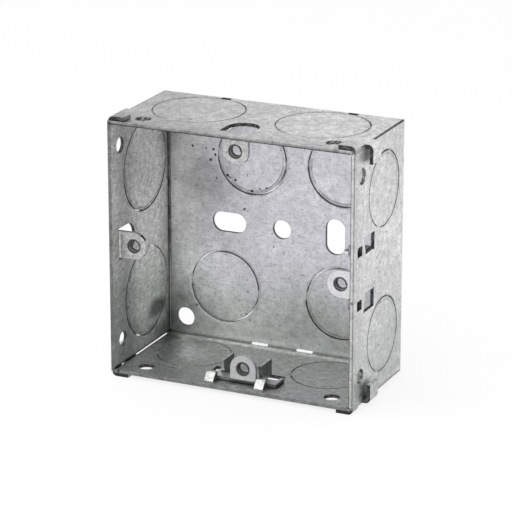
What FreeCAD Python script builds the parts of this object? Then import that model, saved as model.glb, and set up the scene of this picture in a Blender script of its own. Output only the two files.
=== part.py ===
import FreeCAD, Part
import math
import os

# Flush back box for one wiring accessory, folded from galvanised steel sheet.
# Millimetres. X is to the right, Y goes into the wall and Z is up.
# The origin is the middle of the back's outer face, in the centre fixing hole.

# Box
BOX_SIDE = 71.0
BOX_DEPTH = 35.0
SHEET = 1.0
BEND_INNER = 0.4
SEAM_GAP = 0.25
OPEN_SEAM_GAP = 0.45
FIT_GAP = 0.1

# Lugs that take the accessory's screws
LUG_PITCH = 60.3
LUG_WIDTH = 7.6
LUG_SETBACK = 4.0
LUG_THREAD = 3.5
LUG_COLLAR = 5.2
LUG_COLLAR_LENGTH = 1.1
LUG_OPENING_MARGIN = 0.6

# Sliding lugs: travel either way, and the guides that the wall gives them
LUG_TRAVEL = 2.1
SLIDER_REAR = 10.2
SLIDER_LEG = 1.1
CLIP_WIDTH = 2.7
CLIP_FOLD = 2.2
CLIP_SLOPE_DEG = 49.0
CLIP_LIP = 0.7
WING_SPACING = 10.2
WING_HEIGHT = 4.6
WING_FRONT_FOOT = 8.3
WING_FRONT_TIP = 7.1
WING_REAR = 14.0

# Corner tabs that lock the walls together
SIDE_TAB_FRONT = 0.5
SIDE_TAB_WIDTH = 3.8
SIDE_TAB_LENGTH = 4.8
SIDE_TAB_GAP = 0.15
CROSS_TAB_FRONT = 7.3
CROSS_TAB_WIDTH = 5.4
CROSS_TAB_LENGTH = 5.2
CROSS_TAB_GAP = 1.1

# Knockouts: discs sheared along a ring that two ties interrupt
SLIT = 0.3
TIE_WIDTH = 2.6
LARGE_KNOCKOUT = 25.2
LARGE_KNOCKOUT_SPACING = 36.2
LARGE_KNOCKOUT_DEPTH = 19.8
SMALL_KNOCKOUT = 20.4
SMALL_KNOCKOUT_SPACING = 40.4
SMALL_KNOCKOUT_DEPTH = 20.2
BACK_KNOCKOUT_PLACES = ((-17.3, -18.9), (-9.0, 19.2), (18.0, 19.0), (17.6, -19.0))
LARGE_TIE_DEG = 100.0
SMALL_TIE_DEG = 20.0
BACK_TIE_DEG = 85.0

# Holes in the walls and in the back
WALL_HOLE = 4.4
WALL_HOLE_SPACING = 55.0
WALL_HOLE_DEPTH = 5.3
BACK_HOLE = 5.4
BACK_CORNER_HOLE = (-29.6, -29.6)
BACK_SLOT_WIDTH = 5.7
BACK_SLOT_LENGTH = 10.2
BACK_SLOT_SPACING = 31.8

# Short slots in the top wall before its fold, and through the fold behind the bottom wall
TOP_SLOT_LENGTH = 2.8
TOP_SLOT_WIDTH = 1.9
TOP_SLOT_PLACES = (-16.2, 21.2)
FOLD_SLOT_LENGTH = 5.2
FOLD_SLOT_REACH = 0.55
FOLD_SLOT_PLACES = (-6.8, 6.8)

HALF = BOX_SIDE / 2
BEND_OUTER = BEND_INNER + SHEET
BEND_LENGTH = math.pi / 2 * (BEND_INNER + SHEET / 2)
THREAD_HEIGHT = HALF - LUG_PITCH / 2
LUG_TIP = THREAD_HEIGHT + LUG_WIDTH / 2
PAST = 5 * SHEET

# Turns about Y that carry a shape from the bottom wall to each wall
BOTTOM = 0
RIGHT = -90
TOP = 180
LEFT = 90

AXIS_Y = FreeCAD.Vector(0, 1, 0)
ORIGIN = FreeCAD.Vector(0, 0, 0)


def at(across, depth, height):
    """A point by the bottom wall: across it, in from the front edge, up from its outer face."""
    return FreeCAD.Vector(across, depth - BOX_DEPTH, height - HALF)


def block(across, depth, height):
    """A box by the bottom wall, given as three (low, high) pairs."""
    corner = at(across[0], depth[0], height[0])
    return Part.makeBox(across[1] - across[0], depth[1] - depth[0], height[1] - height[0], corner)


def turned(shape, turn):
    """A copy of a shape made by the bottom wall, carried round to another wall."""
    copy = shape.copy()
    copy.rotate(ORIGIN, AXIS_Y, turn)
    return copy


def mirrored(shape):
    """A copy of a shape on the other side of the box's middle plane."""
    return shape.mirror(ORIGIN, FreeCAD.Vector(1, 0, 0))


def rounded_face(corners, place):
    """A flat face from (a, b, radius) corners, each rounded by its radius."""
    edges = []
    starts = []
    ends = []
    for index, (a, b, radius) in enumerate(corners):
        here = place(a, b)
        before = place(*corners[index - 1][:2])
        after = place(*corners[(index + 1) % len(corners)][:2])
        back = (before - here).normalize()
        ahead = (after - here).normalize()
        half_angle = back.getAngle(ahead) / 2
        reach = radius / math.tan(half_angle)
        starts.append(here + back * reach)
        ends.append(here + ahead * reach)
        if radius > 0:
            bisector = (back + ahead).normalize()
            middle = here + bisector * (radius / math.sin(half_angle) - radius)
            edges.append(Part.Arc(starts[-1], middle, ends[-1]).toShape())
    for index in range(len(corners)):
        edges.append(Part.LineSegment(ends[index - 1], starts[index]).toShape())
    return Part.Face(Part.Wire(Part.__sortEdges__(edges)))


def strip_along_wall(corners, low, high):
    """A strip with a profile in depth and height, running across the wall from low to high."""
    face = rounded_face(corners, lambda depth, height: at(low, depth, height))
    return face.extrude(FreeCAD.Vector(high - low, 0, 0))


def strip_in_depth(corners, front, rear):
    """A strip with a profile across the wall and in height, running in depth."""
    face = rounded_face(corners, lambda across, height: at(across, front, height))
    return face.extrude(FreeCAD.Vector(0, rear - front, 0))


def wall_drill(across, depth, diameter):
    """A cutter through the bottom wall."""
    return Part.makeCylinder(diameter / 2, SHEET + 2 * PAST, at(across, depth, -PAST))


def ring_cutter(diameter, tie_deg, base, axis, length):
    """A cutter for a knockout's sheared ring, with two ties left on opposite sides."""
    middle = diameter / 2
    tie_span = math.degrees(TIE_WIDTH / middle)
    bore = Part.makeCylinder(middle - SLIT / 2, length, base, axis)
    arcs = []
    for side in (0, 180):
        arc = Part.makeCylinder(middle + SLIT / 2, length, base, axis, 180 - tie_span)
        arc.rotate(base, axis, tie_deg + side + tie_span / 2)
        arcs.append(arc.cut(bore))
    return arcs


def wall_knockouts(diameter, spacing, depth, tie_deg, turn):
    """Ring cutters for the two knockouts of one wall."""
    cutters = []
    for across in (-spacing / 2, spacing / 2):
        base = at(across, depth, -PAST)
        rings = ring_cutter(diameter, tie_deg, base, FreeCAD.Vector(0, 0, 1), SHEET + 2 * PAST)
        cutters += [turned(ring, turn) for ring in rings]
    return cutters


def lug_outline(front, rear):
    """The lug seen from the front, straight up to its thread and round above, from front to rear."""
    straight = block((-LUG_WIDTH / 2, LUG_WIDTH / 2), (front, rear), (-PAST, THREAD_HEIGHT))
    tip = Part.makeCylinder(LUG_WIDTH / 2, rear - front, at(0, front, THREAD_HEIGHT), AXIS_Y)
    return straight.fuse(tip)


def finish_lug(strip, foot):
    """Round a bent strip's free end, add the collar behind it, above its foot, and bore the thread."""
    lug = strip.common(lug_outline(-PAST, BOX_DEPTH))
    rear = LUG_SETBACK + SHEET
    collar = Part.makeCylinder(LUG_COLLAR / 2, LUG_COLLAR_LENGTH, at(0, rear, THREAD_HEIGHT), AXIS_Y)
    above_foot = block((-LUG_COLLAR, LUG_COLLAR), (-PAST, BOX_DEPTH), (foot, BOX_SIDE))
    thread = Part.makeCylinder(LUG_THREAD / 2, BOX_DEPTH, at(0, -PAST, THREAD_HEIGHT), AXIS_Y)
    return lug.fuse(collar.common(above_foot)).cut(thread)


def fixed_lug():
    """A lug bent in from its wall."""
    start = LUG_SETBACK - BEND_INNER - SHEET
    profile = [
        (start, 0, 0),
        (LUG_SETBACK + SHEET, 0, BEND_OUTER),
        (LUG_SETBACK + SHEET, LUG_TIP, 0),
        (LUG_SETBACK, LUG_TIP, 0),
        (LUG_SETBACK, SHEET, BEND_INNER),
        (start, SHEET, 0),
    ]
    return finish_lug(strip_along_wall(profile, -LUG_WIDTH / 2, LUG_WIDTH / 2), SHEET)


def fixed_lug_opening():
    """The D-shaped opening that a fixed lug leaves in its wall, as long as the lug unfolded."""
    radius = LUG_WIDTH / 2 + LUG_OPENING_MARGIN
    front = LUG_SETBACK - BEND_INNER
    rear = front + BEND_LENGTH + LUG_TIP - SHEET - BEND_INNER + LUG_OPENING_MARGIN
    height = (-PAST, SHEET)
    straight = block((-radius, radius), (front, rear - radius), height)
    round_end = Part.makeCylinder(radius, SHEET + PAST, at(0, rear - radius, -PAST))
    return straight.fuse(round_end)


# Values that the sliding lugs share with their guides in the wall
PLATE_BOTTOM = SHEET + FIT_GAP
PLATE_TOP = PLATE_BOTTOM + SHEET
LIP_BOTTOM = PLATE_TOP + FIT_GAP
CLIP_RISE = LIP_BOTTOM
CLIP_INNER_EDGE = LUG_WIDTH / 2 + LUG_TRAVEL + FIT_GAP
WING_INNER = WING_SPACING / 2
WING_OUTER = WING_INNER + SHEET
WING_TIP = SHEET + WING_HEIGHT
WING_STRAIGHT = WING_HEIGHT - BEND_INNER
LEG_INNER = WING_OUTER + LUG_TRAVEL + FIT_GAP
LEG_OUTER = LEG_INNER + SLIDER_LEG


def clip_under(height):
    """Depth at which the clip's sloping underside reaches a height above the wall's outer face."""
    return CLIP_FOLD + (height / math.tan(math.radians(CLIP_SLOPE_DEG))
                        + SHEET * math.tan(math.radians(CLIP_SLOPE_DEG) / 2))


def wing_front(height):
    """Depth of a wing's sloping front edge at a height above the wall's outer face."""
    share = (height - SHEET) / WING_HEIGHT
    return WING_FRONT_FOOT + (WING_FRONT_TIP - WING_FRONT_FOOT) * share


def clip():
    """The right-hand clip: a tab bent in from the wall, with a lip over the slider's front bar."""
    lip_start = clip_under(LIP_BOTTOM)
    top_shift = SHEET * math.tan(math.radians(CLIP_SLOPE_DEG) / 2)
    profile = [
        (CLIP_FOLD - SHEET, 0, 0),
        (CLIP_FOLD + top_shift, 0, 0),
        (lip_start, LIP_BOTTOM, 0),
        (lip_start + CLIP_LIP, LIP_BOTTOM, 0),
        (lip_start + CLIP_LIP, LIP_BOTTOM + SHEET, 0),
        (lip_start - top_shift, LIP_BOTTOM + SHEET, 0),
        (CLIP_FOLD, SHEET, 0),
        (CLIP_FOLD - SHEET, SHEET, 0),
    ]
    return strip_along_wall(profile, CLIP_INNER_EDGE, CLIP_INNER_EDGE + CLIP_WIDTH)


def clip_opening():
    """The window that the right-hand clip leaves in the wall."""
    slope_length = CLIP_RISE / math.sin(math.radians(CLIP_SLOPE_DEG))
    rear = CLIP_FOLD + slope_length + CLIP_LIP
    return block((CLIP_INNER_EDGE, CLIP_INNER_EDGE + CLIP_WIDTH), (CLIP_FOLD, rear), (-PAST, SHEET))


def wing():
    """The right-hand wing: a tab bent up from the wall, with a front edge that leans over the slider."""
    start = WING_INNER - BEND_INNER - SHEET
    profile = [
        (start, 0, 0),
        (WING_OUTER, 0, BEND_OUTER),
        (WING_OUTER, WING_TIP, 0),
        (WING_INNER, WING_TIP, 0),
        (WING_INNER, SHEET, BEND_INNER),
        (start, SHEET, 0),
    ]
    strip = strip_in_depth(profile, WING_FRONT_TIP, WING_REAR)
    trim = [
        (WING_FRONT_TIP - PAST, SHEET, 0),
        (WING_FRONT_FOOT, SHEET, 0),
        (WING_FRONT_TIP, WING_TIP, 0),
        (WING_FRONT_TIP - PAST, WING_TIP, 0),
    ]
    foot = block((0, HALF), (WING_FRONT_TIP - PAST, WING_FRONT_FOOT), (-PAST, SHEET))
    return strip.cut([strip_along_wall(trim, 0, HALF), foot])


def wing_opening():
    """The opening that the right-hand wing leaves in the wall, as long as the wing unfolded."""
    inner = WING_INNER - BEND_INNER
    outer = inner + BEND_LENGTH + WING_STRAIGHT
    corners = [
        (inner, WING_FRONT_FOOT, 0),
        (inner, WING_REAR, 0),
        (outer, WING_REAR, 0),
        (outer, WING_FRONT_TIP, 0),
    ]
    face = rounded_face(corners, lambda across, depth: at(across, depth, -PAST))
    return face.extrude(FreeCAD.Vector(0, 0, SHEET + PAST))


def sliding_lug():
    """A lug on a U-shaped plate that lies on the wall, at the middle of its travel."""
    bar_front = clip_under(PLATE_TOP) + FIT_GAP
    bar_rear = wing_front(PLATE_TOP) - FIT_GAP
    height = (PLATE_BOTTOM, PLATE_TOP)
    profile = [
        (bar_rear, PLATE_BOTTOM, 0),
        (bar_rear, PLATE_TOP, 0),
        (LUG_SETBACK + SHEET, PLATE_TOP, BEND_INNER),
        (LUG_SETBACK + SHEET, LUG_TIP, 0),
        (LUG_SETBACK, LUG_TIP, 0),
        (LUG_SETBACK, PLATE_BOTTOM, BEND_OUTER),
    ]
    lug = finish_lug(strip_along_wall(profile, -LUG_WIDTH / 2, LUG_WIDTH / 2), PLATE_TOP)
    bar = block((-LEG_OUTER, LEG_OUTER), (bar_front, bar_rear), height)
    leg = block((LEG_INNER, LEG_OUTER), (bar_front, SLIDER_REAR), height)
    return lug.fuse([bar, leg, mirrored(leg)]).removeSplitter()


def side_tab():
    """A tab at the front of a side wall, folded over the outside of the wall beyond it."""
    inner = HALF + SIDE_TAB_GAP
    start = HALF - 2 * SHEET
    profile = [
        (start, 0, 0),
        (inner + SHEET, 0, BEND_OUTER),
        (inner + SHEET, SIDE_TAB_LENGTH, 0),
        (inner, SIDE_TAB_LENGTH, 0),
        (inner, SHEET, BEND_INNER),
        (start, SHEET, 0),
    ]
    return strip_in_depth(profile, SIDE_TAB_FRONT, SIDE_TAB_FRONT + SIDE_TAB_WIDTH)


def cross_tab():
    """A tab on the top or bottom wall, folded over the outside of the side wall beyond it."""
    inner = HALF + CROSS_TAB_GAP
    start = HALF - 2 * SHEET
    profile = [
        (start, 0, 0),
        (inner + SHEET, 0, BEND_OUTER),
        (inner + SHEET, CROSS_TAB_LENGTH, 0),
        (inner, CROSS_TAB_LENGTH, 0),
        (inner, SHEET, BEND_INNER),
        (start, SHEET, 0),
    ]
    return strip_in_depth(profile, CROSS_TAB_FRONT, CROSS_TAB_FRONT + CROSS_TAB_WIDTH)


def tab_relief(front, width):
    """The end of a wall that is cut away where the next wall's tab passes it."""
    depth = (front - FIT_GAP, front + width + FIT_GAP)
    return block((HALF - SHEET - FIT_GAP, HALF + SHEET), depth, (-SHEET, SHEET))


def corner_seam(gap):
    """The mitred gap between two walls that meet at a corner."""
    reach = 2 * SHEET
    lean = gap / 2 * math.sqrt(0.5)
    corners = [
        (HALF - reach + lean, reach + lean, 0),
        (HALF - reach - lean, reach - lean, 0),
        (HALF + reach - lean, -reach - lean, 0),
        (HALF + reach + lean, -reach + lean, 0),
    ]
    return strip_in_depth(corners, -PAST, BOX_DEPTH - SHEET - BEND_INNER)


def top_slot(across):
    """A short slot through a wall, along the back's inner face."""
    low = across - TOP_SLOT_LENGTH / 2
    rear = BOX_DEPTH - SHEET
    return block((low, low + TOP_SLOT_LENGTH), (rear - TOP_SLOT_WIDTH, rear), (-PAST, SHEET + BEND_INNER))


def fold_slot(across):
    """A short opening through the fold between a wall and the back, past both inner faces."""
    low = across - FOLD_SLOT_LENGTH / 2
    reach = SHEET + FOLD_SLOT_REACH
    return block((low, low + FOLD_SLOT_LENGTH), (BOX_DEPTH - reach, BOX_DEPTH + PAST), (-PAST, reach))


def folded_shell():
    """The back and four walls, with the folds round the back rounded inside and out."""
    outer = block((-HALF, HALF), (0, BOX_DEPTH), (0, BOX_SIDE))
    outer_edges = [edge for edge in outer.Edges if edge.BoundBox.YMin > -SHEET / 2]
    outer = outer.makeFillet(BEND_OUTER, outer_edges)
    room = (SHEET - HALF, HALF - SHEET)
    inner = block(room, (-PAST, BOX_DEPTH - SHEET), (SHEET, BOX_SIDE - SHEET))
    inner_edges = [edge for edge in inner.Edges if edge.BoundBox.YMin > -1.5 * SHEET]
    inner = inner.makeFillet(BEND_INNER, inner_edges)
    return outer.cut(inner)


def on_both_sides(shape):
    """A shape on the right of its wall and its twin on the left."""
    return [shape, mirrored(shape)]


def back_cutters():
    """Knockout rings, holes and slots in the back."""
    forward = FreeCAD.Vector(0, -1, 0)
    length = SHEET + 2 * PAST
    cutters = []
    for x, z in BACK_KNOCKOUT_PLACES:
        base = FreeCAD.Vector(x, PAST, z)
        cutters += ring_cutter(SMALL_KNOCKOUT, BACK_TIE_DEG, base, forward, length)
    for x, z in ((0, 0), BACK_CORNER_HOLE):
        cutters.append(Part.makeCylinder(BACK_HOLE / 2, length, FreeCAD.Vector(x, PAST, z), forward))
    half_run = (BACK_SLOT_LENGTH - BACK_SLOT_WIDTH) / 2
    level = FreeCAD.Vector(half_run, 0, 0)
    upright = FreeCAD.Vector(0, 0, half_run)
    for x, run in ((-BACK_SLOT_SPACING / 2, level), (BACK_SLOT_SPACING / 2, upright)):
        middle = FreeCAD.Vector(x, PAST, 0)
        ends = [Part.makeCylinder(BACK_SLOT_WIDTH / 2, length, middle + run * side, forward)
                for side in (-1, 1)]
        across = FreeCAD.Vector(run.z, 0, run.x).normalize() * (BACK_SLOT_WIDTH / 2)
        low = middle - run - across - FreeCAD.Vector(0, length, 0)
        span = (run + across) * 2
        cutters.append(Part.makeBox(span.x, length, span.z, low).fuse(ends))
    return cutters


def wall_cutters():
    """Every opening in the four walls and in the folds behind them."""
    cutters = []
    for turn in (BOTTOM, RIGHT, TOP, LEFT):
        for side in (-1, 1):
            hole = wall_drill(side * WALL_HOLE_SPACING / 2, WALL_HOLE_DEPTH, WALL_HOLE)
            cutters.append(turned(hole, turn))
    for turn in (TOP, LEFT):
        cutters.append(turned(fixed_lug_opening(), turn))
        cutters += wall_knockouts(
            LARGE_KNOCKOUT, LARGE_KNOCKOUT_SPACING, LARGE_KNOCKOUT_DEPTH, LARGE_TIE_DEG, turn)
    for turn in (BOTTOM, RIGHT):
        for opening in on_both_sides(clip_opening()) + on_both_sides(wing_opening()):
            cutters.append(turned(opening, turn))
        cutters += wall_knockouts(
            SMALL_KNOCKOUT, SMALL_KNOCKOUT_SPACING, SMALL_KNOCKOUT_DEPTH, SMALL_TIE_DEG, turn)
    for turn in (BOTTOM, TOP):
        seam = corner_seam(SEAM_GAP)
        relief = tab_relief(SIDE_TAB_FRONT, SIDE_TAB_WIDTH)
        for gap in on_both_sides(seam) + on_both_sides(relief):
            cutters.append(turned(gap, turn))
    cutters.append(mirrored(corner_seam(OPEN_SEAM_GAP)))
    for turn in (LEFT, RIGHT):
        relief = tab_relief(CROSS_TAB_FRONT, CROSS_TAB_WIDTH)
        cutters += [turned(gap, turn) for gap in on_both_sides(relief)]
    for x in TOP_SLOT_PLACES:
        cutters.append(turned(top_slot(-x), TOP))
    for x in FOLD_SLOT_PLACES:
        cutters.append(fold_slot(x))
    return cutters


def bent_tabs():
    """Every tab that is bent from the walls: lugs, corner tabs, clips and wings."""
    tabs = []
    for turn in (TOP, LEFT):
        tabs.append(turned(fixed_lug(), turn))
    for turn in (LEFT, RIGHT):
        tabs += [turned(tab, turn) for tab in on_both_sides(side_tab())]
    for turn in (TOP, BOTTOM):
        tabs += [turned(tab, turn) for tab in on_both_sides(cross_tab())]
    for turn in (BOTTOM, RIGHT):
        tabs += [turned(tab, turn) for tab in on_both_sides(clip()) + on_both_sides(wing())]
    return tabs


def box_body():
    """The whole folded box as one piece."""
    opened = folded_shell().cut(wall_cutters() + back_cutters())
    return opened.fuse(bent_tabs()).removeSplitter()


def slid(lug, across, turn):
    """A sliding lug moved along its wall and carried round to it."""
    moved = lug.copy()
    moved.translate(FreeCAD.Vector(across, 0, 0))
    return turned(moved, turn)


# Both sliding lugs stand at the end of their travel that is nearer the lower right corner
PARTS = {
    "box_body": box_body(),
    "bottom_lug": slid(sliding_lug(), LUG_TRAVEL, BOTTOM),
    "right_lug": slid(sliding_lug(), -LUG_TRAVEL, RIGHT),
}

os.makedirs("parts", exist_ok=True)
for name, shape in PARTS.items():
    solids = shape.Solids
    print(name, "solids", len(solids), "valid", shape.isValid(), "volume", round(shape.Volume, 2))
    solids[0].exportStep(os.path.join("parts", name + ".step"))
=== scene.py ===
import math
from types import SimpleNamespace

import bmesh
import bpy
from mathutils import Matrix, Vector


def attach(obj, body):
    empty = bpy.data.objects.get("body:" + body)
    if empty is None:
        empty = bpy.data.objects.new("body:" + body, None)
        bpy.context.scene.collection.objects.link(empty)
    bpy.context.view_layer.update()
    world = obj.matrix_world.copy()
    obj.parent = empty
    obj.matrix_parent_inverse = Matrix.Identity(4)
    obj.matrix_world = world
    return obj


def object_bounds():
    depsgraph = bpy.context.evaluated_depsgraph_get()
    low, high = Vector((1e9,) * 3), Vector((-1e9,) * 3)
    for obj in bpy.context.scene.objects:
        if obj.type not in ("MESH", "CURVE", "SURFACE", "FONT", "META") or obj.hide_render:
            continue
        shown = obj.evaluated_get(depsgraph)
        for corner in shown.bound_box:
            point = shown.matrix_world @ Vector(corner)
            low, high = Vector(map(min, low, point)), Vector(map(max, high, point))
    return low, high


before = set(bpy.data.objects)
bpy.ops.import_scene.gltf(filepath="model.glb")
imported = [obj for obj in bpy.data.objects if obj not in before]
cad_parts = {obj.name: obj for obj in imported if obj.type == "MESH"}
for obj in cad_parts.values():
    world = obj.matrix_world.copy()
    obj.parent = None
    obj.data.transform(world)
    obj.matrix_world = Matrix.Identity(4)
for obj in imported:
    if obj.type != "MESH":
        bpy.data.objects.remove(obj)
cad_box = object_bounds()

MM = 0.001
SHEET_SLOT = "galvanised_sheet"
LUG_SLOT = "galvanised_lug"

# Sizes of the box in millimetres
BOX_SIDE = 71.0
BOX_DEPTH = 35.0
SHEET = 1.0
LUG_PITCH = 60.3
LUG_SETBACK = 4.0
LUG_DEPTH = 2.2
SLIDER_OFFSET = 2.1

# Places on the box in millimetres, in the frame of the CAD model
WALL_OUTER = BOX_SIDE / 2
WALL_MIDDLE = WALL_OUTER - SHEET / 2
WALL_INNER = WALL_OUTER - SHEET
BACK_INNER = -SHEET
FRONT_RIM = -BOX_DEPTH
LUG_FRONT = FRONT_RIM + LUG_SETBACK
LUG_REAR = LUG_FRONT + LUG_DEPTH
LUG_REACH = LUG_PITCH / 2
SLIDER_TOP = -25.0
FOOT_TOP = -33.3
WING_SPAN = (5.02, 6.15)
WING_BASE = 29.5
WING_REAR = -20.9
SMALL_HOLE_SIDE = 24.0
SMALL_HOLE_DEPTH = -26.0

# Margins of the masks that tell the parts of the sheet apart, and how squarely a face looks along an axis
FACE_MARGIN = 0.1
EDGE_MARGIN = 0.04
RIM_MARGIN = 0.05
TAB_MARGIN = 0.06
FOLD_MARGIN = 0.5
FACING = 0.5

# Knockout rings: wall, middle along the wall, middle in depth (in height on the back), radius,
# direction of the ring's darkest side in degrees from along the wall, darkness there
RING_FLANGE = 0.9
RING_REACH = 3.0
OTHER_WALL = 50.0
LARGE_RING = 12.6
SMALL_RING = 10.2
LARGE_SIDE = 18.1
SMALL_SIDE = 20.2
LARGE_DEPTH = -15.2
SMALL_DEPTH = -14.8
RINGS = (
    ("top", -LARGE_SIDE, LARGE_DEPTH, LARGE_RING, 60, 0.45),
    ("top", LARGE_SIDE, LARGE_DEPTH, LARGE_RING, 80, 0.45),
    ("left", LARGE_SIDE, LARGE_DEPTH, LARGE_RING, 200, 1.0),
    ("left", -LARGE_SIDE, LARGE_DEPTH, LARGE_RING, 230, 0.9),
    ("right", SMALL_SIDE, SMALL_DEPTH, SMALL_RING, 40, 0.9),
    ("right", -SMALL_SIDE, SMALL_DEPTH, SMALL_RING, 40, 0.8),
    ("bottom", -SMALL_SIDE, SMALL_DEPTH, SMALL_RING, 180, 0.0),
    ("bottom", SMALL_SIDE, SMALL_DEPTH, SMALL_RING, 210, 0.4),
    ("back", -9.0, 19.2, SMALL_RING, -50, 1.0),
    ("back", 18.0, 19.0, SMALL_RING, -120, 1.0),
    ("back", -17.3, -18.9, SMALL_RING, 60, 0.7),
    ("back", 17.6, -19.0, SMALL_RING, 220, 0.9),
)

# Black specks on the inside of the back: place across, place in height, radius
SPECKS = (
    (-20.7, 20.4, 0.40),
    (-20.1, 18.9, 0.36),
    (-21.5, 17.3, 0.40),
    (-22.9, 20.6, 0.28),
    (-27.0, 20.7, 0.32),
    (-16.4, 13.5, 0.44),
    (-15.7, 13.0, 0.28),
    (-14.1, 12.4, 0.34),
    (-9.1, 9.9, 0.40),
    (-6.7, 10.8, 0.26),
    (-4.7, 11.3, 0.26),
    (-0.8, 12.8, 0.24),
    (-11.3, 4.5, 0.34),
    (-19.8, 12.3, 0.24),
    (-10.5, 14.3, 0.24),
)

# Patches inside the box, dark ones and pale ones that are painted light: centre, length in depth for each
# length in height, radii where the middle and the whole patch end, darkness (below zero for the painted
# light, where the sheet is paler)
PATCHES_AND_PAINTED_LIGHT = (
    ((-WALL_INNER, -9.2, -25.0), 2.0, 1.2, 4.0, 0.82),
    ((-WALL_INNER, -4.0, -31.0), 1.6, 1.5, 8.0, 0.50),
    ((-23.0, BACK_INNER, 12.0), 1.0, 2.0, 12.0, 0.27),
    ((-32.0, BACK_INNER, 23.0), 1.0, 1.0, 9.0, 0.30),
    ((-21.5, BACK_INNER, -16.0), 1.0, 5.0, 13.0, -0.26),
    ((-21.0, -15.0, -WALL_INNER), 1.2, 1.5, 8.0, -0.40),
    ((-16.0, BACK_INNER, -30.0), 1.0, 3.0, 14.0, -0.12),
)

# Fades of painted shade and light: where along an axis a fade starts and ends, and the share of light that
# is kept at each end
LOW_FADE = (-36.0, 0.0, 0.80, 1.0)
TOP_SIDE_FADE = (-36.0, 28.0, 0.66, 0.97)
TOP_FRONT_FADE = (-36.0, -22.0, 0.75, 1.0)
LEFT_FRONT_FADE = (-33.5, -29.0, 1.0, 0.79)
LEFT_MIDDLE_FADE = (-26.5, -18.0, 1.0, 1.52)
RIGHT_FADE = (-35.0, -26.0, 0.92, 1.02)
TOP_RIM_FADE = (WALL_INNER, WALL_OUTER - 0.1, 0.40, 0.90)
LOW_LUG_FADE = (-34.0, -31.5, 1.05, 0.70)

# Runs: where along an axis, or how far from a line, a mask starts and ends
SEAM_FRONT_RUN = (-22.4, -22.0)
SEAM_REAR_RUN = (-2.2, -1.6)
SEAM_CORNER_RUN = (WALL_MIDDLE, WALL_MIDDLE + 0.15)
FOLD_SHADE_RUN = (0.35, 0.85)
FOLD_HEIGHT_RUN = (-24.0, 0.0)
FOLD_SIDE_RUN = (-8.0, -2.0)
SEAM_SHADE_RUN = (0.38, 0.6)
LOW_FOLD_RUN = (0.3, 0.6)
PALE_BAND_RUN = (-4.2, -1.8)
RIM_BORDER_RUN = (0.25, 0.36)
RIM_OUTSIDE_RUN = (FRONT_RIM + 0.3, FRONT_RIM + 0.5)
RIM_REACH = 0.6
BORE_RUN = (1.85, 2.2)
FOOT_END_RUN = (6.5, 8.5)
LOW_TINT_RUN = (-25.0, -8.0)
BACK_TINT_RUN = (-27.0, -16.0)
RING_STAIN_RUN = (0.2, 0.9)
RING_LINE_RUN = (0.12, 0.3)
RING_FAINT_RUN = (0.35, 0.7)
RING_GROOVE_RUN = (0.1, 0.9)
RING_LEAN_RUN = (-1.0, 0.8)
FLANGE_RUN = (0.1, 0.35)
FLANGE_DARK_RUN = (0.5, 1.0)
SMALL_SPECK_RUN = (0.08, 0.2)
SPECK_FIELD_RUN = (0.54, 0.64)
SPECK_BORDER = 0.1
SPECK_RAGGEDNESS = 0.16
LOW_TINT_WAVE = 7.0

# Textures: scale for points in millimetres (in metres for the floor's paper), detail, roughness
GRAIN = (2.0, 3.0, 0.7)
STREAK = (1.0, 4.0, 0.65)
STAIN = (0.35, 3.0, 0.55)
CLOUD = (0.045, 3.0, 0.6)
MOTTLE = (0.55, 4.0, 0.65)
FLECK = (1.1, 3.0, 0.7)
SPECK_FIELD = (0.07, 2.0, 0.55)
YELLOW_STAIN = (0.11, 3.0, 0.6)
CUT_PATCHES = (1.6, 3.0, 0.7)
LUG_TINT = (0.2, 2.0, 0.55)
PAPER = (40.0, 3.0, 0.55)
STREAK_ACROSS = (2.2, 0.5, 0.5)
STREAK_IN_DEPTH = (0.5, 2.2, 0.5)
SPANGLE_SCALE = 0.55
SPANGLE_WAVES = 0.6
SPANGLE_WAVE_SIZE = (1.2, 1.2, 1.2)
SMALL_SPECK_SCALE = 0.42

# Least and greatest light, roughness or relief that a texture gives
MOTTLE_LIGHT = (0.76, 1.22)
STREAK_LIGHT = (0.78, 1.19)
GRAIN_LIGHT = (0.78, 1.18)
CLOUD_LIGHT = (0.88, 1.1)
SPANGLE_LIGHT = (0.94, 1.05)
LUG_STREAK_LIGHT = (0.84, 1.12)
LUG_GRAIN_LIGHT = (0.82, 1.12)
LUG_SPANGLE_LIGHT = (0.95, 1.04)
BACK_CONTRAST = 0.85
RIGHT_CONTRAST = 1.1
CONTRAST = 1.5
STREAK_ROUGHNESS = (0.34, 0.52)
SPANGLE_ROUGHNESS = (-0.05, 0.05)
LUG_ROUGHNESS = (0.32, 0.46)
SHEARED_ROUGHNESS = 0.62
STREAK_RELIEF = (0.0, 0.02)
SPANGLE_RELIEF = (0.0, 0.008)
GRAIN_RELIEF = (0.0, 0.02)
MOTTLE_RELIEF = (0.0, 0.03)
RING_RELIEF = (-0.12, 0.0)
LUG_RELIEF = (0.0, 0.012)
RELIEF_STRENGTH = 0.6
NARROW_SPREAD = 0.2
WIDE_SPREAD = 0.3

# Weights that follow a texture: where in its range a weight starts and ends changing, and from what to what
RING_STAIN_WEIGHT = (0.35, 0.65, 0.1, 0.9)
RING_LINE_WEIGHT = (0.3, 0.6, 0.35, 0.9)
FLANGE_WEIGHT = (0.35, 0.6, 0.2, 0.9)
FOLD_WEIGHT = (0.35, 0.6, 0.8, 1.0)
FLECK_LIGHT = (0.30, 0.42, 0.62, 1.0)
YELLOW_WEIGHT = (0.45, 0.75, 0.0, 0.7)
CUT_WEIGHT = (0.42, 0.68)
LUG_TINT_WEIGHT = (0.35, 0.65)
LOW_FOLD_WEIGHT = 0.45
LIGHT_SIDE_WEIGHT = 0.25
INNER_LINE_WEIGHT = 0.7
LOW_TAB_WEIGHT = 0.1
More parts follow.
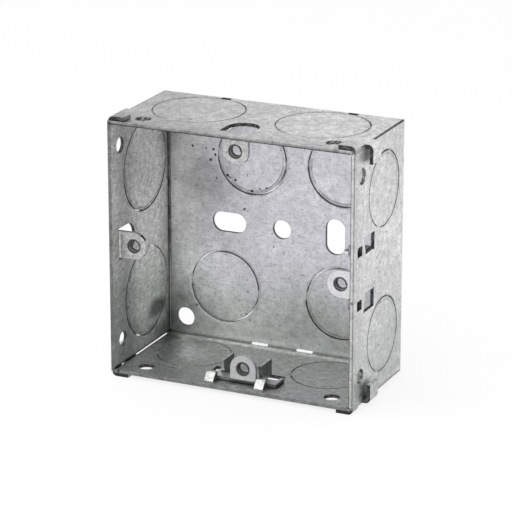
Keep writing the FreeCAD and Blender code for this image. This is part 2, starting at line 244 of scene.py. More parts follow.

# Painted shade along edges and in corners, and the rounding of edges: radii in millimetres, and what is made
# of the bevel's turn and of the occlusion
ROUNDING = 0.14
EDGE_WIDTH = 0.3
EDGE_TURN = (0.86, 0.995)
WIDE_GAP = 2.5
NARROW_GAP = 0.8
WIDE_OCCLUSION_SHADE = (0.35, 0.95, 0.66, 1.0)
NARROW_OCCLUSION_SHADE = (0.4, 0.9, 0.4, 1.0)

# Share of light that the zinc keeps in its marked places: specks, ring marks and the bottom lug's foot end,
# and painted shade on the bottom, the lug faces, the folds and seam, the bores, the wings, the rim and edges
# and the foot's edges; above one it is a painted highlight in the pale band
KEPT_BOTTOM = 0.83
KEPT_LUG_FACE = 0.78
KEPT_SMALL_SPECK = 0.25
KEPT_SPECK = 0.08
KEPT_FOLD = 0.12
KEPT_FOLD_SIDE = 0.74
KEPT_SEAM = 0.25
KEPT_LOW_FOLD = 0.5
KEPT_PALE_BAND = 1.8
KEPT_RING_STAIN = 0.55
KEPT_FLANGE = 0.5
KEPT_RING_LINE = 0.15
KEPT_BORE = 0.2
KEPT_WING = 0.45
KEPT_LEFT_RIM = 0.32
KEPT_BOTTOM_RIM = 0.52
KEPT_RIM_LINE = 0.38
KEPT_EDGE = 0.5
KEPT_FOOT_END = 0.62
KEPT_FOOT_EDGE = 0.35

# Colours of the zinc and of its cut edges; the dark cut colour is partly painted shade
LOW_GREENISH = (0.645, 0.668, 0.655, 1)
LOW_YELLOWISH = (0.660, 0.665, 0.625, 1)
BACK_NEUTRAL = (0.665, 0.664, 0.676, 1)
BACK_LAVENDER = (0.668, 0.658, 0.702, 1)
WALL_NEUTRAL = (0.670, 0.668, 0.673, 1)
LEFT_INSIDE = (0.669, 0.670, 0.653, 1)
LUG_NEUTRAL = (0.70, 0.705, 0.705, 1)
LUG_LAVENDER = (0.72, 0.715, 0.745, 1)
DARK_CUT_AND_SHADE = ((0.04, 0.04, 0.043, 1), (0.18, 0.18, 0.185, 1))
PALE_CUT = ((0.10, 0.10, 0.103, 1), (0.50, 0.50, 0.505, 1))

# Threads in the lugs: name, body, place across, place in height
THREADS = (
    ("left_lug_thread", "box", -LUG_REACH, 0.0),
    ("top_lug_thread", "box", 0.0, LUG_REACH),
    ("right_lug_thread", "right_slider", LUG_REACH, -SLIDER_OFFSET),
    ("bottom_lug_thread", "bottom_slider", SLIDER_OFFSET, -LUG_REACH),
)
THREAD_START = -30.85
THREAD_END = -29.05
THREAD_PITCH = 0.6
THREAD_STEPS = 30
THREAD_ROOT = 1.78
THREAD_CREST = 1.45
THREAD_PROFILE = (
    (THREAD_ROOT, -0.26),
    (THREAD_ROOT, 0.26),
    (THREAD_CREST, 0.05),
    (THREAD_CREST, -0.05),
)

# Camera, floor, world and lamps in metres. Lamps: name, place, side, power in watts
CAMERA_TARGET = Vector((-0.01, -18.0, -2.456)) * MM
CAMERA_DISTANCE = 750 * MM
CAMERA_AZIMUTH = math.radians(24.78)
CAMERA_ELEVATION = math.radians(18.34)
CAMERA_LENS = 196.3
FLOOR_REACH = 4.0
FLOOR_WHITE = 0.8
FLOOR_GREYS = ((0.86, 0.86, 0.86, 1), (0.90, 0.90, 0.90, 1))
WHITE = (1, 1, 1, 1)
HORIZON_LIGHT = (0.95, 0.95, 0.95, 1)
SKY_LIGHT = (0.62, 0.62, 0.64, 1)
SKY_HEIGHT = 0.8
LAMP_AIM = Vector((0, -0.015, 0))
LAMPS = (
    ("key", (-0.36, -0.39, 0.73), 1.3, 6.4),
    ("fill", (0.6, -0.75, 0.35), 1.2, 5.2),
    ("rim", (0.5, 0.9, 0.4), 1.2, 1.6),
)


class Shader:
    """Builds one material's nodes; the methods that compute something return an output socket."""

    def __init__(self, name):
        self.material = bpy.data.materials.new(name)
        self.material.use_nodes = True
        self.tree = self.material.node_tree
        self.tree.nodes.clear()

    def node(self, kind, inputs=None, **settings):
        made = self.tree.nodes.new(kind)
        for key, value in settings.items():
            setattr(made, key, value)
        for key, value in (inputs or {}).items():
            self.feed(made.inputs[key], value)
        return made

    def feed(self, socket, value):
        if isinstance(value, bpy.types.NodeSocket):
            self.tree.links.new(value, socket)
        else:
            socket.default_value = value

    def math(self, operation, *values):
        inputs = dict(enumerate(values))
        return self.node("ShaderNodeMath", inputs, operation=operation).outputs[0]

    def joined(self, operation, values):
        """One number from several, by an operation on two at a time."""
        total = values[0]
        for value in values[1:]:
            total = self.math(operation, total, value)
        return total

    def total(self, *values):
        return self.joined("ADD", values)

    def product(self, *values):
        return self.joined("MULTIPLY", values)

    def least(self, *values):
        return self.joined("MINIMUM", values)

    def most(self, *values):
        return self.joined("MAXIMUM", values)

    def length(self, *values):
        """The length of a vector with these parts."""
        total = 0.0
        for value in values:
            total = self.math("MULTIPLY_ADD", value, value, total)
        return self.math("SQRT", total)

    def above(self, value, limit):
        return self.math("GREATER_THAN", value, limit)

    def below(self, value, limit):
        return self.math("LESS_THAN", value, limit)

    def between(self, value, low, high):
        return self.product(self.above(value, low), self.below(value, high))

    def opposite(self, mask):
        return self.math("SUBTRACT", 1.0, mask)

    def ramp(self, value, low, high, start=0.0, end=1.0):
        """A smooth change from start to end while value goes from low to high."""
        inputs = {"Value": value, "From Min": low, "From Max": high, "To Min": start, "To Max": end}
        return self.node("ShaderNodeMapRange", inputs, interpolation_type="SMOOTHSTEP").outputs["Result"]

    def near(self, distance, inner, outer):
        """A mask that is full up to the inner distance and ends at the outer one."""
        return self.ramp(distance, inner, outer, 1.0, 0.0)

    def vary(self, texture, start, end, spread=0.25):
        """A number that follows a texture, which spreads so far either way from a half."""
        inputs = {
            "Value": texture,
            "From Min": 0.5 - spread,
            "From Max": 0.5 + spread,
            "To Min": start,
            "To Max": end,
        }
        return self.node("ShaderNodeMapRange", inputs).outputs["Result"]

    def choose(self, share, first, second):
        """A number between two others."""
        return self.node("ShaderNodeMix", {0: share, 2: first, 3: second}).outputs[0]

    def kept(self, mask, share):
        """A factor that keeps all the light outside a mask and a share of it inside."""
        return self.choose(mask, 1.0, share)

    def mix(self, share, first, second):
        """A colour between two others."""
        made = self.node("ShaderNodeMix", {0: share, 6: first, 7: second}, data_type="RGBA")
        return made.outputs[2]

    def vector(self, operation, *values):
        inputs = dict(enumerate(values))
        return self.node("ShaderNodeVectorMath", inputs, operation=operation).outputs[0]

    def scaled(self, vector, factor):
        """A vector or a colour times a number."""
        inputs = {0: vector, "Scale": factor}
        return self.node("ShaderNodeVectorMath", inputs, operation="SCALE").outputs[0]

    def pair(self, operation, first, second):
        """A number from two vectors, such as their distance."""
        inputs = {0: first, 1: second}
        return self.node("ShaderNodeVectorMath", inputs, operation=operation).outputs["Value"]

    def parts(self, vector):
        return self.node("ShaderNodeSeparateXYZ", {0: vector}).outputs

    def noise(self, point, scale, detail, roughness):
        inputs = {"Vector": point, "Scale": scale, "Detail": detail, "Roughness": roughness}
        return self.node("ShaderNodeTexNoise", inputs).outputs["Fac"]

    def cells(self, point, scale):
        return self.node("ShaderNodeTexVoronoi", {"Vector": point, "Scale": scale}).outputs

    def finish(self, surface):
        output = self.node("ShaderNodeOutputMaterial")
        self.tree.links.new(surface, output.inputs["Surface"])
        return self.material


class ZincShader(Shader):
    """Knows the point in millimetres, how much the surface faces along each axis, and the zinc's texture."""

    def __init__(self, name):
        super().__init__(name)
        self.point = self.scaled(self.node("ShaderNodeTexCoord").outputs["Object"], 1 / MM)
        self.x, self.y, self.z = self.parts(self.point)
        self.normal = self.node("ShaderNodeNewGeometry").outputs["Normal"]
        self.facing_x, self.facing_y, self.facing_z = self.parts(self.vector("ABSOLUTE", self.normal))
        self.spangle = self.make_spangle()
        self.streak = self.make_streak()
        self.grain = self.noise(self.point, *GRAIN)

    def make_spangle(self):
        """Crystals of the zinc, with wavy borders."""
        warp = self.node("ShaderNodeTexNoise", {"Vector": self.point, "Scale": SPANGLE_WAVES, "Detail": 2.0})
        pushed = self.vector("MULTIPLY_ADD", warp.outputs["Color"], SPANGLE_WAVE_SIZE, self.point)
        return self.parts(self.cells(pushed, SPANGLE_SCALE)["Color"])[0]

    def make_streak(self):
        """Streaks from rolling, which run in depth on the side walls and across on the rest."""
        across = self.noise(self.vector("DIVIDE", self.point, STREAK_ACROSS), *STREAK)
        in_depth = self.noise(self.vector("DIVIDE", self.point, STREAK_IN_DEPTH), *STREAK)
        return self.choose(self.above(self.facing_x, FACING), across, in_depth)

    def bores(self):
        """A mask of the lugs' bores and a narrow ring round their mouths, where painted shade goes."""
        runs = []
        for _, _, place_x, place_z in THREADS:
            u = self.math("SUBTRACT", self.x, place_x)
            v = self.math("SUBTRACT", self.z, place_z)
            runs.append(self.length(u, v))
        return self.product(self.near(self.least(*runs), *BORE_RUN), self.below(self.y, LUG_REAR))

    def edges(self):
        """A mask along the edges of the sheet, where painted dark lines go."""
        soft = self.node("ShaderNodeBevel", {"Radius": EDGE_WIDTH * MM}, samples=6).outputs["Normal"]
        return self.near(self.pair("DOT_PRODUCT", soft, self.normal), *EDGE_TURN)

    def occlusion_shade(self):
        """Painted shade in corners and in narrow gaps, from the occlusion: the share of light kept there."""
        wide = self.node("ShaderNodeAmbientOcclusion", {"Distance": WIDE_GAP * MM}, samples=8)
        narrow = self.node("ShaderNodeAmbientOcclusion", {"Distance": NARROW_GAP * MM}, samples=8)
        return self.product(
            self.ramp(wide.outputs["AO"], *WIDE_OCCLUSION_SHADE),
            self.ramp(narrow.outputs["AO"], *NARROW_OCCLUSION_SHADE),
        )

    def metal(self, colour, rough, height):
        """Bare metal with a relief and slightly rounded edges."""
        soft = self.node("ShaderNodeBevel", {"Radius": ROUNDING * MM}, samples=4).outputs["Normal"]
        relief = {"Strength": RELIEF_STRENGTH, "Distance": MM, "Height": height, "Normal": soft}
        inputs = {
            "Base Color": colour,
            "Metallic": 1.0,
            "Roughness": rough,
            "Normal": self.node("ShaderNodeBump", relief).outputs["Normal"],
        }
        return self.finish(self.node("ShaderNodeBsdfPrincipled", inputs).outputs["BSDF"])


class SheetShader(ZincShader):
    """Knows the folded sheet's walls too: each mask called not_ is zero on its wall, inside and out."""

    def __init__(self, name):
        super().__init__(name)
        self.off_x = self.math("ABSOLUTE", self.x)
        self.off_z = self.math("ABSOLUTE", self.z)
        self.not_top = self.below(self.z, WALL_INNER - FACE_MARGIN)
        self.not_left = self.above(self.x, -WALL_INNER + FACE_MARGIN)
        self.not_right = self.below(self.x, WALL_INNER - FACE_MARGIN)
        self.not_bottom = self.above(self.z, -WALL_INNER + FACE_MARGIN)
        self.not_back = self.below(self.y, BACK_INNER - FACE_MARGIN)
        self.clear_x = self.below(self.off_x, WALL_INNER - FOLD_MARGIN)
        self.clear_z = self.below(self.off_z, WALL_INNER - FOLD_MARGIN)
        self.on_tab = self.above(self.most(self.off_x, self.off_z), WALL_OUTER + TAB_MARGIN)
        # The inner faces that the main view shows, and the left wall's among them
        self.inside = self.product(
            self.above(self.x, -WALL_INNER - FACE_MARGIN),
            self.above(self.z, -WALL_INNER - FACE_MARGIN),
            self.below(self.y, BACK_INNER + FACE_MARGIN),
        )
        self.left_inside = self.product(self.opposite(self.not_left), self.inside)
        self.stain = self.noise(self.point, *STAIN)
        self.cloud = self.noise(self.point, *CLOUD)
        self.mottle = self.noise(self.point, *MOTTLE)


def sheared_edges(s):
    """Cut faces, dark with bare steel and painted shade: inside the sheet's thickness and not facing the way
    that their wall faces, with the mitres and the tabs' front faces.
    """
    walls = s.between(s.y, FRONT_RIM + RIM_MARGIN, BACK_INNER + RIM_MARGIN)
    in_side = s.between(s.off_x, WALL_INNER + EDGE_MARGIN, WALL_OUTER - EDGE_MARGIN)
    in_level = s.between(s.off_z, WALL_INNER + EDGE_MARGIN, WALL_OUTER - EDGE_MARGIN)
    in_back = s.between(s.y, BACK_INNER + EDGE_MARGIN, -EDGE_MARGIN)
    side_edge = s.product(in_side, walls, s.clear_z, s.below(s.facing_x, FACING))
    level_edge = s.product(in_level, walls, s.clear_x, s.below(s.facing_z, FACING))
    back_edge = s.product(in_back, s.clear_x, s.clear_z, s.below(s.facing_y, FACING))
    slanting = s.above(s.least(s.facing_x, s.facing_z), FACING)
    mitre = s.product(slanting, walls, s.opposite(s.on_tab))
    tab_edge = s.product(s.on_tab, s.above(s.facing_y, FACING))
    return s.most(side_edge, level_edge, back_edge, mitre, tab_edge)


def seam_edge_shade(s):
    """Painted shade along the corner seams, from behind the cross tabs to the back."""
    run = s.product(s.ramp(s.y, *SEAM_FRONT_RUN), s.near(s.y, *SEAM_REAR_RUN))
    return s.product(run, s.ramp(s.least(s.off_x, s.off_z), *SEAM_CORNER_RUN))


def ring_lines(s):
    """Distances to the nearest knockout ring in the same wall and to a line inside it, and its darkness."""
    walls = {
        "top": (s.x, s.y, s.not_top),
        "left": (s.z, s.y, s.not_left),
        "right": (s.z, s.y, s.not_right),
        "bottom": (s.x, s.y, s.not_bottom),
        "back": (s.x, s.z, s.not_back),
    }
    distances = []
    inner_distances = []
    weights = []
    for wall, place, depth_place, radius, heavy_degrees, dark in RINGS:
        across, depth, outside = walls[wall]
        u = s.math("SUBTRACT", across, place)
        v = s.math("SUBTRACT", depth, depth_place)
        past_ring = s.math("SUBTRACT", s.length(u, v), radius)
        past = s.math("MULTIPLY_ADD", outside, OTHER_WALL, past_ring)
        away = s.math("ABSOLUTE", past)
        heavy = math.radians(heavy_degrees)
        lean = s.total(s.product(u, math.cos(heavy) / radius), s.product(v, math.sin(heavy) / radius))
        distances.append(away)
        inner_distances.append(s.math("ABSOLUTE", s.total(past, RING_FLANGE)))
        side = s.ramp(lean, *RING_LEAN_RUN, LIGHT_SIDE_WEIGHT * dark, dark)
        weights.append(s.product(s.below(away, RING_REACH), side))
    return s.least(*distances), s.least(*inner_distances), s.most(*weights)


def knockout_rings(s):
    """Masks of the knockout rings, which are stained in places and faint in others; where they are faint,
    the slit's walls are painted pale and get no painted shade.
    """
    away, inner_away, dark = ring_lines(s)
    stain = s.product(s.near(away, *RING_STAIN_RUN), s.ramp(s.stain, *RING_STAIN_WEIGHT), dark)
    line = s.product(s.near(away, *RING_LINE_RUN), s.ramp(s.stain, *RING_LINE_WEIGHT), dark)
    flange = s.product(
        s.near(inner_away, *FLANGE_RUN),
        s.ramp(s.stain, *FLANGE_WEIGHT),
        s.ramp(dark, *FLANGE_DARK_RUN),
    )
    faint = s.product(s.near(away, *RING_FAINT_RUN), s.opposite(dark))
    return SimpleNamespace(away=away, stain=stain, line=line, flange=flange, faint=faint)


def zinc_light(s):
    """Light kept by the zinc's clouds, mottling, streaks, grain, spangle and dark flecks."""
    texture = s.product(
        s.vary(s.mottle, *MOTTLE_LIGHT),
        s.vary(s.streak, *STREAK_LIGHT),
        s.vary(s.grain, *GRAIN_LIGHT),
    )
    contrast = s.least(
        s.choose(s.not_back, BACK_CONTRAST, CONTRAST),
        s.choose(s.not_right, RIGHT_CONTRAST, CONTRAST),
    )
    return s.product(
        s.vary(s.cloud, *CLOUD_LIGHT),
        s.math("POWER", texture, contrast),
        s.choose(s.spangle, *SPANGLE_LIGHT),
        s.ramp(s.noise(s.point, *FLECK), *FLECK_LIGHT),
    )


def painted_light_and_shade(s):
    """Painted shade and light: darker low down, on the bottom, on the front and left of the top, in front at
    the sides and on the lugs' faces; on the left wall's inside darker a little behind the front and lighter
    further back.
    """
    top_fade = s.product(s.ramp(s.x, *TOP_SIDE_FADE), s.ramp(s.y, *TOP_FRONT_FADE))
    left_fade = s.product(s.ramp(s.y, *LEFT_FRONT_FADE), s.ramp(s.y, *LEFT_MIDDLE_FADE))
    lug_face = s.product(
        s.between(s.y, LUG_FRONT - FACE_MARGIN, LUG_REAR),
        s.above(s.facing_y, FACING),
        s.clear_x,
        s.clear_z,
    )
    return s.product(
        s.ramp(s.z, *LOW_FADE),
        s.choose(s.not_bottom, KEPT_BOTTOM, 1.0),
        s.choose(s.not_top, top_fade, 1.0),
        s.kept(s.left_inside, left_fade),
        s.choose(s.not_right, s.ramp(s.y, *RIGHT_FADE), 1.0),
        s.kept(lug_face, KEPT_LUG_FACE),
    )


def spot_light(s):
    """Light kept by small specks, by the black ones on the back, and by patches inside: dark patches, and
    pale ones that are painted light.
    """
    speck_field = s.ramp(s.noise(s.point, *SPECK_FIELD), *SPECK_FIELD_RUN)
    speck_cells = s.cells(s.point, SMALL_SPECK_SCALE)["Distance"]
    small_specks = s.product(s.near(speck_cells, *SMALL_SPECK_RUN), speck_field)
    past_specks = []
    for place_x, place_z, radius in SPECKS:
        run = s.pair("DISTANCE", s.point, (place_x, BACK_INNER, place_z))
        past_specks.append(s.math("SUBTRACT", run, radius))
    ragged = s.vary(s.grain, -SPECK_RAGGEDNESS, SPECK_RAGGEDNESS, NARROW_SPREAD)
    specks = s.near(s.total(s.least(*past_specks), ragged), -SPECK_BORDER, SPECK_BORDER)
    light = s.product(s.kept(small_specks, KEPT_SMALL_SPECK), s.kept(specks, KEPT_SPECK))
    for (place_x, place_y, place_z), stretch, inner, outer, dark in PATCHES_AND_PAINTED_LIGHT:
        squeezed = s.vector("DIVIDE", s.point, (1.0, stretch, 1.0))
        run = s.pair("DISTANCE", squeezed, (place_x, place_y / stretch, place_z))
        light = s.product(light, s.kept(s.inside, s.ramp(run, inner, outer, 1.0 - dark, 1.0)))
    return light


def fold_light(s):
    """Painted shade in the left fold, beside it on the left wall, along the open seam and in the low fold,
    and a painted highlight in a pale band on the bottom wall.
    """
    from_left = s.total(s.x, WALL_INNER)
    from_bottom = s.total(s.z, WALL_INNER)
    from_back = s.math("SUBTRACT", s.y, BACK_INNER)
    # Painted shade in the left fold, beside it, along the seam and in the low fold
    fold_shade = s.product(
        s.near(s.length(from_left, from_back), *FOLD_SHADE_RUN),
        s.ramp(s.stain, *FOLD_WEIGHT),
        s.ramp(s.z, *FOLD_HEIGHT_RUN, LOW_FOLD_WEIGHT, 1.0),
    )
    fold_side_shade = s.product(s.left_inside, s.ramp(from_back, *FOLD_SIDE_RUN))
    seam_shade = s.product(s.near(s.length(from_left, from_bottom), *SEAM_SHADE_RUN), s.inside)
    low_fold_shade = s.product(s.near(s.length(from_bottom, from_back), *LOW_FOLD_RUN), s.inside)
    # A painted highlight: a pale band along the bottom wall's back fold
    painted_pale_band = s.product(s.ramp(from_back, *PALE_BAND_RUN), s.opposite(s.not_bottom), s.inside)
    return s.product(
        s.kept(fold_shade, KEPT_FOLD),
        s.kept(fold_side_shade, KEPT_FOLD_SIDE),
        s.kept(seam_shade, KEPT_SEAM),
        s.kept(low_fold_shade, KEPT_LOW_FOLD),
        s.kept(painted_pale_band, KEPT_PALE_BAND),
    )


def wings(s):
    """A mask of the faces of the wings beside the sliding lugs, where painted shade goes."""
    low_wing = s.product(
        s.between(s.off_x, *WING_SPAN),
        s.above(s.facing_x, FACING),
        s.below(s.z, -WING_BASE),
    )
    right_wing = s.product(
        s.between(s.off_z, *WING_SPAN),
        s.above(s.facing_z, FACING),
        s.above(s.x, WING_BASE),
    )
    return s.product(s.most(low_wing, right_wing), s.below(s.y, WING_REAR))


def mark_light(s, rings):
    """Light kept by the rings' marks, and by painted shade in the bores, on the wings and in corners and
    narrow gaps (left out in faint rings).
    """
    return s.product(
        s.kept(rings.stain, KEPT_RING_STAIN),
        s.kept(rings.flange, KEPT_FLANGE),
        s.kept(rings.line, KEPT_RING_LINE),
        # Painted shade in the bores
        s.kept(s.bores(), KEPT_BORE),
        # Painted shade on the wings
        s.kept(wings(s), KEPT_WING),
        # Painted shade in corners and narrow gaps, left out in faint rings
        s.choose(rings.faint, s.occlusion_shade(), 1.0),
    )


def rim_and_edge_shade(s, rings):
    """Painted shade on the front rim and along the edges of the sheet.

    The rim keeps its full light between painted dark lines on the right wall, is painted darker towards the
    inside on the top wall, and darker all over on the others. Elsewhere the edges get painted dark lines.
    """
    on_right = s.opposite(s.not_right)
    on_top = s.opposite(s.not_top)
    rim_face = s.product(s.below(s.y, FRONT_RIM + RIM_MARGIN), s.above(s.facing_y, FACING))
    plain_rim = s.choose(s.not_left, KEPT_LEFT_RIM, KEPT_BOTTOM_RIM)
    rim = s.choose(on_top, plain_rim, s.ramp(s.z, *TOP_RIM_FADE))
    rim = s.choose(on_right, rim, 1.0)

    off_middle = s.math("SUBTRACT", s.most(s.off_x, s.off_z), WALL_MIDDLE)
    inner_half = s.below(off_middle, 0.0)
    # Painted dark lines along the rim's borders and on the walls just behind it
    border = s.product(rim_face, s.ramp(s.math("ABSOLUTE", off_middle), *RIM_BORDER_RUN))
    outside = s.product(s.near(s.y, *RIM_OUTSIDE_RUN), s.below(s.facing_y, FACING))
    line_weight = s.choose(inner_half, s.product(on_right, INNER_LINE_WEIGHT), s.most(on_right, on_top))
    lines = s.product(s.most(border, outside), line_weight)

    near_rim = s.below(s.y, FRONT_RIM + RIM_REACH)
    # Painted dark lines along the edges, except in faint rings
    edge = s.product(s.edges(), s.opposite(rings.faint), s.kept(near_rim, line_weight))
    return s.product(s.kept(rim_face, rim), s.kept(lines, KEPT_RIM_LINE), s.kept(edge, KEPT_EDGE))


def zinc_colour(s):
    """Greenish with yellowish stains low down; above, neutral walls and lavender on most of the back."""
    stained = s.ramp(s.noise(s.point, *YELLOW_STAIN), *YELLOW_WEIGHT)
    low = s.mix(stained, LOW_GREENISH, LOW_YELLOWISH)
    back = s.mix(s.ramp(s.x, *BACK_TINT_RUN), BACK_NEUTRAL, BACK_LAVENDER)
    wall = s.mix(s.left_inside, WALL_NEUTRAL, LEFT_INSIDE)
    wavy_height = s.total(s.z, s.vary(s.cloud, -LOW_TINT_WAVE, LOW_TINT_WAVE))
    return s.mix(s.ramp(wavy_height, *LOW_TINT_RUN), low, s.mix(s.not_back, back, wall))


def cut_colour(s, rings):
    """Colour of the cut edges, partly bare steel and partly painted shade: dark with paler patches, darker
    still on the low tabs, pale in the small holes seen from outside, and painted pale in faint rings.
    """
    low_tab = s.below(s.z, -WALL_OUTER - TAB_MARGIN)
    patches = s.ramp(s.noise(s.point, *CUT_PATCHES), *CUT_WEIGHT)
    patches = s.product(patches, s.kept(low_tab, LOW_TAB_WEIGHT))
    small_hole = s.product(
        s.above(s.least(s.off_x, s.off_z), SMALL_HOLE_SIDE),
        s.below(s.y, SMALL_HOLE_DEPTH),
        s.opposite(s.on_tab),
    )
    seen_outside = s.opposite(s.product(s.not_top, s.not_right))
    pale = s.most(s.product(small_hole, seen_outside), rings.faint)
    return s.mix(pale, s.mix(patches, *DARK_CUT_AND_SHADE), s.mix(patches, *PALE_CUT))


def sheet_material():
    """Galvanised sheet of the folded box: zinc skin, stained knockout rings, sheared edges dark with bare
    steel and painted shade, and painted light and shade on the walls, folds, rim and edges.
    """
    s = SheetShader(SHEET_SLOT)
    rings = knockout_rings(s)
    sheared = sheared_edges(s)
    light = s.product(
        zinc_light(s),
        painted_light_and_shade(s),
        spot_light(s),
        fold_light(s),
        mark_light(s, rings),
        rim_and_edge_shade(s, rings),
    )
    # Cut faces and seams take the dark cut colour, which is partly bare steel and partly painted shade
    cut = s.most(sheared, seam_edge_shade(s))
    colour = s.mix(cut, s.scaled(zinc_colour(s), light), cut_colour(s, rings))
    rough = s.total(
        s.vary(s.streak, *STREAK_ROUGHNESS, WIDE_SPREAD),
        s.choose(s.spangle, *SPANGLE_ROUGHNESS),
    )
    rough = s.most(rough, s.product(sheared, SHEARED_ROUGHNESS))
    height = s.total(
        s.vary(s.streak, *STREAK_RELIEF, WIDE_SPREAD),
        s.choose(s.spangle, *SPANGLE_RELIEF),
        s.vary(s.grain, *GRAIN_RELIEF, WIDE_SPREAD),
        s.vary(s.mottle, *MOTTLE_RELIEF, WIDE_SPREAD),
        s.ramp(rings.away, *RING_GROOVE_RUN, *RING_RELIEF),
    )
    return s.metal(colour, rough, height)


def lug_material():
    """Brighter zinc of the sliding lugs and the threads, darker on the bottom lug's foot end, with painted
    shade in the bores, on the bottom lug's upright part, on the foot's edges, in corners and along edges.
    """
    s = ZincShader(LUG_SLOT)
    tint = s.ramp(s.noise(s.point, *LUG_TINT), *LUG_TINT_WEIGHT)
    base = s.mix(tint, LUG_NEUTRAL, LUG_LAVENDER)
    foot = s.below(s.z, FOOT_TOP)
    foot_end = s.product(foot, s.ramp(s.x, *FOOT_END_RUN))
    # Painted shade on the edges of the foot
    foot_edge_shade = s.product(foot, s.below(s.facing_z, FACING))
    light = s.product(
        s.vary(s.streak, *LUG_STREAK_LIGHT),
        s.vary(s.grain, *LUG_GRAIN_LIGHT),
        s.choose(s.spangle, *LUG_SPANGLE_LIGHT),
        s.kept(s.bores(), KEPT_BORE),
        s.kept(foot_end, KEPT_FOOT_END),
        s.kept(foot_edge_shade, KEPT_FOOT_EDGE),
        # Painted shade in corners and narrow gaps
        s.occlusion_shade(),
        # Painted shade on the bottom lug's upright part
        s.kept(s.below(s.z, SLIDER_TOP), s.ramp(s.z, *LOW_LUG_FADE)),
        s.kept(s.edges(), KEPT_EDGE),
    )
    rough = s.vary(s.grain, *LUG_ROUGHNESS, WIDE_SPREAD)
    height = s.total(
        s.vary(s.streak, *LUG_RELIEF, WIDE_SPREAD),
        s.vary(s.grain, *LUG_RELIEF, WIDE_SPREAD),
    )
    return s.metal(s.scaled(base, light), rough, height)


def floor_material():
    """Pale floor that shows white and keeps a soft shadow."""
    s = Shader("floor_white")
    paper = s.noise(s.node("ShaderNodeTexCoord").outputs["Object"], *PAPER)
    colour = s.mix(paper, *FLOOR_GREYS)
    diffuse = s.node("ShaderNodeBsdfDiffuse", {"Color": colour}).outputs["BSDF"]
    white = s.node("ShaderNodeEmission", {"Color": WHITE, "Strength": 1.0}).outputs["Emission"]
    path = s.node("ShaderNodeLightPath").outputs
    seen = s.most(path["Is Camera Ray"], path["Is Glossy Ray"], path["Is Transmission Ray"])
    share = s.product(seen, FLOOR_WHITE)
    return s.finish(s.node("ShaderNodeMixShader", {0: share, 1: diffuse, 2: white}).outputs[0])


def make_world():
    """White to the camera and in reflections, a soft grey room as a light."""
    world = bpy.data.worlds.new("studio")
    world.use_nodes = True
    tree = world.node_tree
    tree.nodes.clear()
    output = tree.nodes.new("ShaderNodeOutputWorld")
    room = tree.nodes.new("ShaderNodeBackground")
    white = tree.nodes.new("ShaderNodeBackground")
    white.inputs["Color"].default_value = WHITE
    coordinates = tree.nodes.new("ShaderNodeTexCoord")
    parts = tree.nodes.new("ShaderNodeSeparateXYZ")
    gradient = tree.nodes.new("ShaderNodeValToRGB")
    horizon, sky = gradient.color_ramp.elements
    horizon.position = 0.0
    horizon.color = HORIZON_LIGHT
    sky.position = SKY_HEIGHT
    sky.color = SKY_LIGHT
    path = tree.nodes.new("ShaderNodeLightPath")
    seen = path.outputs["Is Camera Ray"]
    for kind in ("Is Glossy Ray", "Is Transmission Ray"):
        either = tree.nodes.new("ShaderNodeMath")
        either.operation = "MAXIMUM"
        tree.links.new(seen, either.inputs[0])
        tree.links.new(path.outputs[kind], either.inputs[1])
        seen = either.outputs[0]
    mixed = tree.nodes.new("ShaderNodeMixShader")
    tree.links.new(coordinates.outputs["Generated"], parts.inputs[0])
    tree.links.new(parts.outputs["Z"], gradient.inputs[0])
    tree.links.new(gradient.outputs[0], room.inputs["Color"])
    tree.links.new(seen, mixed.inputs[0])
    tree.links.new(room.outputs[0], mixed.inputs[1])
    tree.links.new(white.outputs[0], mixed.inputs[2])
    tree.links.new(mixed.outputs[0], output.inputs["Surface"])
    bpy.context.scene.world = world


def area_light(name, place, side, power):
    """A soft square lamp, aimed at the box."""
    data = bpy.data.lights.new(name, "AREA")
    data.size = side
    data.energy = power
    lamp = bpy.data.objects.new(name, data)
    lamp.location = place
    lamp.rotation_euler = (LAMP_AIM - Vector(place)).to_track_quat("-Z", "Y").to_euler()
    bpy.context.scene.collection.objects.link(lamp)


def make_camera():
    """A plain camera at the photograph's viewing angle."""
    data = bpy.data.cameras.new("camera")
    data.sensor_width = 36
    data.lens = CAMERA_LENS
    data.clip_start = 0.01
    data.clip_end = 20
    camera = bpy.data.objects.new("camera", data)
    flat = math.cos(CAMERA_ELEVATION)
    back = Vector((
        math.sin(CAMERA_AZIMUTH) * flat,
        -math.cos(CAMERA_AZIMUTH) * flat,
        math.sin(CAMERA_ELEVATION),
    ))
    camera.location = CAMERA_TARGET + back * CAMERA_DISTANCE
    camera.rotation_mode = "QUATERNION"
    camera.rotation_quaternion = (-back).to_track_quat("-Z", "Y")
    bpy.context.scene.collection.objects.link(camera)
    bpy.context.scene.camera = camera


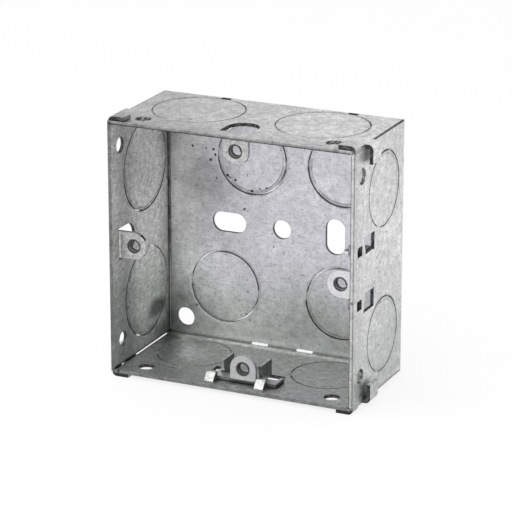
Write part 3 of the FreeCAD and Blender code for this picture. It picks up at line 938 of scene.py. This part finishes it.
def make_floor():
    """A wide square under the box's lowest point."""
    mesh = bpy.data.meshes.new("floor")
    reach = FLOOR_REACH
    low = cad_box[0].z
    corners = [(-reach, -reach, low), (reach, -reach, low), (reach, reach, low), (-reach, reach, low)]
    mesh.from_pydata(corners, [], [(0, 1, 2, 3)])
    mesh.materials.append(floor_material())
    floor = bpy.data.objects.new("floor", mesh)
    bpy.context.scene.collection.objects.link(floor)


def thread(name, body, x, z, material):
    """The thread in a lug: a helical ridge inside the lug's bore, which runs along Y."""
    sides = len(THREAD_PROFILE)
    count = round((THREAD_END - THREAD_START) / THREAD_PITCH * THREAD_STEPS)
    mesh = bmesh.new()
    rows = []
    for index in range(count + 1):
        turn = 2 * math.pi * index / THREAD_STEPS
        along = THREAD_START + THREAD_PITCH * index / THREAD_STEPS
        row = []
        for radius, shift in THREAD_PROFILE:
            place = Vector((x + radius * math.cos(turn), along + shift, z + radius * math.sin(turn)))
            row.append(mesh.verts.new(place * MM))
        rows.append(row)
    for before, after in zip(rows, rows[1:]):
        for side in range(sides):
            following = (side + 1) % sides
            mesh.faces.new((before[side], before[following], after[following], after[side]))
    mesh.faces.new(rows[0])
    mesh.faces.new(reversed(rows[-1]))
    bmesh.ops.recalc_face_normals(mesh, faces=mesh.faces)
    data = bpy.data.meshes.new(name)
    mesh.to_mesh(data)
    mesh.free()
    data.materials.append(material)
    piece = bpy.data.objects.new(name, data)
    bpy.context.scene.collection.objects.link(piece)
    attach(piece, body)


def dress(node, material):
    """Gives a CAD node its material."""
    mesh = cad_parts[node].data
    mesh.materials.clear()
    mesh.materials.append(material)


sheet = sheet_material()
lug = lug_material()
dress("box_body", sheet)
dress("right_lug", lug)
dress("bottom_lug", lug)
for thread_name, thread_body, thread_x, thread_z in THREADS:
    thread(thread_name, thread_body, thread_x, thread_z, lug)

make_floor()
make_world()
make_camera()
for lamp_name, lamp_place, lamp_side, lamp_power in LAMPS:
    area_light(lamp_name, lamp_place, lamp_side, lamp_power)

bpy.context.scene.view_settings.view_transform = "Standard"
